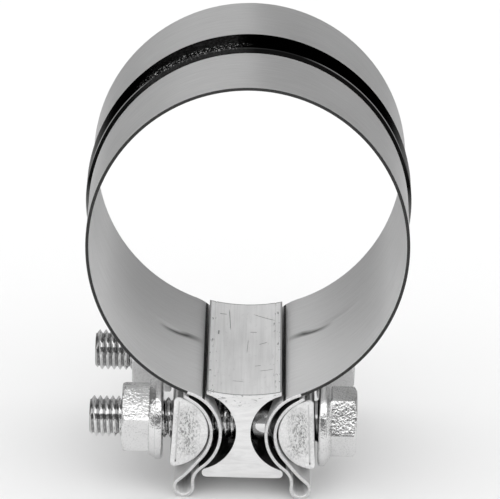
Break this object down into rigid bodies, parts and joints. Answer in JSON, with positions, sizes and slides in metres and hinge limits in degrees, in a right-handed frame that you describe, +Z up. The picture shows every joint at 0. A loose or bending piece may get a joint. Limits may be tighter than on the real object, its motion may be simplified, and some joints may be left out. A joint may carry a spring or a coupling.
{
  "type": "pipe repair clamp",
  "caption": "Wide stainless band clamp with a raised centre bead, I-section spacer block, half-round bars in curled ends and cross bolts with flange nuts.",
  "frame": {"origin": "under the middle of the clamp, level with the foot of the folded loops at the ends of the band", "axes": "+X across the clamp towards the bolt heads, +Y along the bore, +Z up from the bolts towards the top of the ring"},
  "size_m": [0.0786, 0.0608, 0.1078],
  "materials": {
    "band_steel": "satin rolled stainless sheet",
    "block_steel": "light satin with scuffs and scratches",
    "bar_steel": "bright plated, rough sheared ends",
    "zinc_plate": "bright zinc plate"
  },
  "bodies": {
    "band_left": {"band_left_half": "band_steel"},
    "band_right": {"band_right_half": "band_steel"},
    "spacer_block": {"spacer_block": "block_steel"},
    "left_bar": {"left_bar": "bar_steel"},
    "right_bar": {"right_bar": "bar_steel"},
    "front_bolt": {"front_bolt": "zinc_plate"},
    "rear_bolt": {"rear_bolt": "zinc_plate"},
    "front_nut": {"front_nut": "zinc_plate"},
    "rear_nut": {"rear_nut": "zinc_plate"}
  },
  "joints": [
    {"name": "band_flex", "type": "hinge", "parent": "band_left", "child": "band_right", "pos_m": [0, 0, 0.10644], "axis": [0, 1, 0], "range_deg": [-2.5, 1]},
    {"name": "block_centring", "type": "hinge", "parent": "band_left", "child": "spacer_block", "pos_m": [0, 0, 0.10644], "axis": [0, 1, 0], "range_deg": [-1.25, 0.5]},
    {"name": "left_bar_rock", "type": "hinge", "parent": "band_left", "child": "left_bar", "pos_m": [-0.0178, 0, 0.01692], "axis": [0, 1, 0], "range_deg": [-1.25, 0.5]},
    {"name": "right_bar_rock", "type": "hinge", "parent": "band_right", "child": "right_bar", "pos_m": [0.0178, 0, 0.01692], "axis": [0, 1, 0], "range_deg": [-0.5, 1.25]},
    {"name": "front_bolt_spin", "type": "hinge", "parent": "right_bar", "child": "front_bolt", "pos_m": [0.01814, -0.0195, 0.01692], "axis": [-1, 0, 0], "range_deg": [-1440, 360]},
    {"name": "rear_bolt_spin", "type": "hinge", "parent": "right_bar", "child": "rear_bolt", "pos_m": [0.01814, 0.0195, 0.01692], "axis": [-1, 0, 0], "range_deg": [-1440, 45]},
    {"name": "front_nut_travel", "type": "slide", "parent": "left_bar", "child": "front_nut", "axis": [1, 0, 0], "range_m": [-0.006, 0.0015]},
    {"name": "rear_nut_travel", "type": "slide", "parent": "left_bar", "child": "rear_nut", "axis": [1, 0, 0], "range_m": [-0.006, 0.00019]}
  ],
  "couplings": [
    {"joint": "block_centring", "follows": "band_flex", "ratio": 0.5},
    {"joint": "left_bar_rock", "follows": "band_flex", "ratio": 0.5},
    {"joint": "right_bar_rock", "follows": "band_flex", "ratio": -0.5},
    {"joint": "front_nut_travel", "follows": "front_bolt_spin", "m_per_rad": 0.00023873},
    {"joint": "rear_nut_travel", "follows": "rear_bolt_spin", "m_per_rad": 0.00023873}
  ]
}
